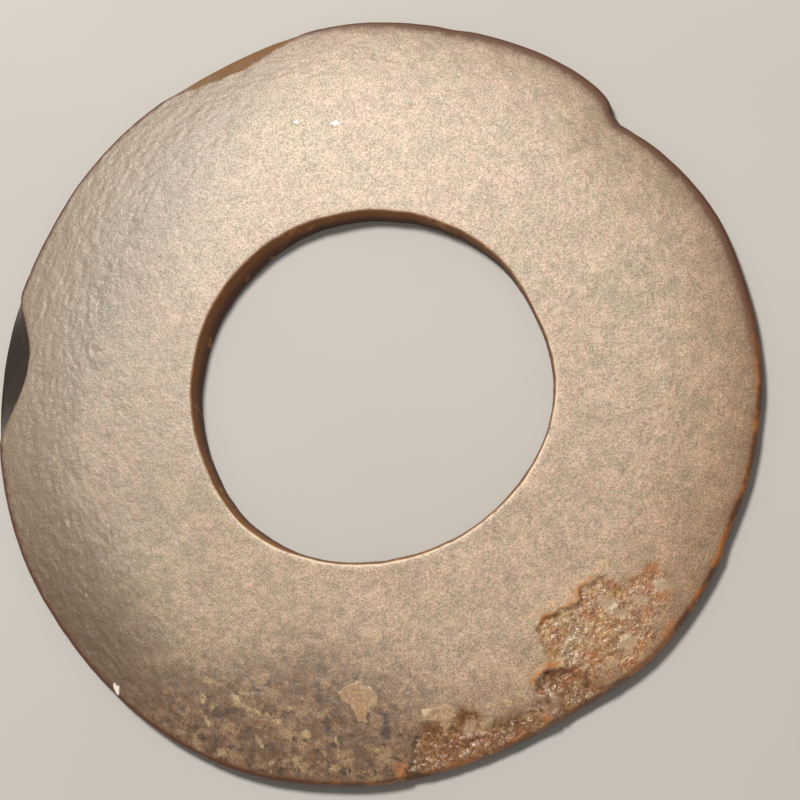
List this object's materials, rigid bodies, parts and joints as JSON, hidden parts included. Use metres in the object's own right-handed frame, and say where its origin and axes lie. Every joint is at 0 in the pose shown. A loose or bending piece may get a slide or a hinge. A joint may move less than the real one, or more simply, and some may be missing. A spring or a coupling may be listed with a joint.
{
  "type": "jade huan disc",
  "caption": "Plain carved nephrite ring with a wide tapered centre hole, a worn and notched rim, and a spalled, stained patch at its edge.",
  "frame": {"origin": "on the flat back's plane, under the middle of the box around the ring", "axes": "+Z out of the face that shows, through the ring's thickness; +X to the right and +Y to the top of the picture"},
  "size_m": [0.1212, 0.1216, 0.004],
  "materials": {
    "jade": "waxy greige-brown nephrite with a fine speckle, a dark brown rim and orange-brown staining where the face is spalled"
  },
  "bodies": {
    "root": {"jade_disc": "jade"}
  },
  "joints": []
}
